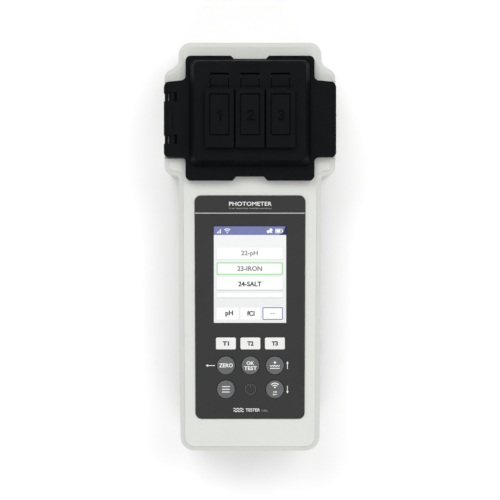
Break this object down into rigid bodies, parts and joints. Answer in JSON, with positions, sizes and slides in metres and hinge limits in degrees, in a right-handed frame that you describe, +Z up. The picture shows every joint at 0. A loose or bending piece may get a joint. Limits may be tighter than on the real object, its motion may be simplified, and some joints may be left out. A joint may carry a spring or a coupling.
{
  "type": "digital water tester",
  "caption": "Hand-held digital photometer for pool water with a colour display, round keys and numbered sample hatches under a hinged black light shield.",
  "frame": {"origin": "bottom centre of the bounding box, on the table plane", "axes": "+Y along the length towards the measuring head, +Z up out of the display face, +X to the right seen from the front"},
  "size_m": [0.087, 0.207, 0.053],
  "materials": {
    "light_shell": "fine matt texture",
    "black_cover": "fine matt texture",
    "overlay_film": "satin printed film",
    "window_clear": "clear, glossy",
    "display_glass": "lit colour display",
    "key_white": "satin",
    "key_grey": "satin",
    "key_dark": "satin",
    "seal_rubber": "matt",
    "foot_rubber": "matt",
    "steel": "machined",
    "circuit_board": "solder mask",
    "component_dark": "moulded",
    "cell_can": null,
    "holder_plastic": "moulded",
    "cuvette_clear": "clear, glossy",
    "led_clear": "clear resin",
    "cable_film": "polyimide film",
    "magnet": "nickel plated",
    "steel_black": "black coated"
  },
  "bodies": {
    "housing": {"rear_shell": "light_shell", "front_shell": "light_shell", "housing_seal": "seal_rubber", "housing_screws": "steel", "rubber_feet": "foot_rubber", "front_overlay": "overlay_film", "display_window": "window_clear", "display_panel": "display_glass", "display_frame": "holder_plastic", "main_board": "circuit_board", "wireless_module": "component_dark", "key_switches": "component_dark", "battery_cells": "cell_can", "battery_holder": "holder_plastic", "battery_cover": "light_shell", "battery_cover_seal": "seal_rubber", "battery_cover_screws": "steel", "usb_board": "circuit_board", "usb_socket": "steel", "optics_board": "circuit_board", "chamber_block": "black_cover", "cuvette_1": "cuvette_clear", "cuvette_2": "cuvette_clear", "cuvette_3": "cuvette_clear", "cuvette_seals": "seal_rubber", "led_board": "circuit_board", "leds": "led_clear", "photodiode_board": "circuit_board", "photodiodes": "component_dark", "optics_cable": "cable_film", "lid_hinge_lugs": "steel_black", "lid_hinge_pin": "steel_black", "catch_magnets": "magnet"},
    "light_shield": {"light_shield_lid": "black_cover", "lid_seal": "seal_rubber", "hatch_hinge_pins": "steel_black", "catch_plates": "steel"},
    "hatch_1_body": {"hatch_1": "black_cover", "hatch_seal_1": "seal_rubber"},
    "hatch_2_body": {"hatch_2": "black_cover", "hatch_seal_2": "seal_rubber"},
    "hatch_3_body": {"hatch_3": "black_cover", "hatch_seal_3": "seal_rubber"},
    "key_t1_body": {"key_t1": "key_white"},
    "key_t2_body": {"key_t2": "key_white"},
    "key_t3_body": {"key_t3": "key_white"},
    "key_zero_body": {"key_zero": "key_grey"},
    "key_ok_body": {"key_ok": "key_grey"},
    "key_light_body": {"key_light": "key_grey"},
    "key_menu_body": {"key_menu": "key_grey"},
    "key_power_body": {"key_power": "key_dark"},
    "key_wireless_body": {"key_wireless": "key_grey"},
    "usb_cover_body": {"usb_cover": "seal_rubber"}
  },
  "joints": [
    {"name": "lid_hinge", "type": "hinge", "parent": "housing", "child": "light_shield", "pos_m": [-0.039, 0.06455, 0.041], "axis": [0, -1, 0], "range_deg": [0, 100]},
    {"name": "hatch_1_hinge", "type": "hinge", "parent": "light_shield", "child": "hatch_1_body", "pos_m": [-0.01515, 0.0846, 0.049], "axis": [-1, 0, 0], "range_deg": [0, 100]},
    {"name": "hatch_2_hinge", "type": "hinge", "parent": "light_shield", "child": "hatch_2_body", "pos_m": [0, 0.0846, 0.049], "axis": [-1, 0, 0], "range_deg": [0, 100]},
    {"name": "hatch_3_hinge", "type": "hinge", "parent": "light_shield", "child": "hatch_3_body", "pos_m": [0.01515, 0.0846, 0.049], "axis": [-1, 0, 0], "range_deg": [0, 100]},
    {"name": "key_t1_press", "type": "slide", "parent": "housing", "child": "key_t1_body", "axis": [0, 0, -1], "range_m": [0, 0.0006], "stiffness_N_per_m": 1500},
    {"name": "key_t2_press", "type": "slide", "parent": "housing", "child": "key_t2_body", "axis": [0, 0, -1], "range_m": [0, 0.0006], "stiffness_N_per_m": 1500},
    {"name": "key_t3_press", "type": "slide", "parent": "housing", "child": "key_t3_body", "axis": [0, 0, -1], "range_m": [0, 0.0006], "stiffness_N_per_m": 1500},
    {"name": "key_zero_press", "type": "slide", "parent": "housing", "child": "key_zero_body", "axis": [0, 0, -1], "range_m": [0, 0.0006], "stiffness_N_per_m": 1500},
    {"name": "key_ok_press", "type": "slide", "parent": "housing", "child": "key_ok_body", "axis": [0, 0, -1], "range_m": [0, 0.0006], "stiffness_N_per_m": 1500},
    {"name": "key_light_press", "type": "slide", "parent": "housing", "child": "key_light_body", "axis": [0, 0, -1], "range_m": [0, 0.0006], "stiffness_N_per_m": 1500},
    {"name": "key_menu_press", "type": "slide", "parent": "housing", "child": "key_menu_body", "axis": [0, 0, -1], "range_m": [0, 0.0006], "stiffness_N_per_m": 1500},
    {"name": "key_power_press", "type": "slide", "parent": "housing", "child": "key_power_body", "axis": [0, 0, -1], "range_m": [0, 0.0006], "stiffness_N_per_m": 1500},
    {"name": "key_wireless_press", "type": "slide", "parent": "housing", "child": "key_wireless_body", "axis": [0, 0, -1], "range_m": [0, 0.0006], "stiffness_N_per_m": 1500},
    {"name": "usb_cover_hinge", "type": "hinge", "parent": "housing", "child": "usb_cover_body", "pos_m": [-0.0069, -0.1029, 0.014], "axis": [0, 0, -1], "range_deg": [0, 100]}
  ]
}
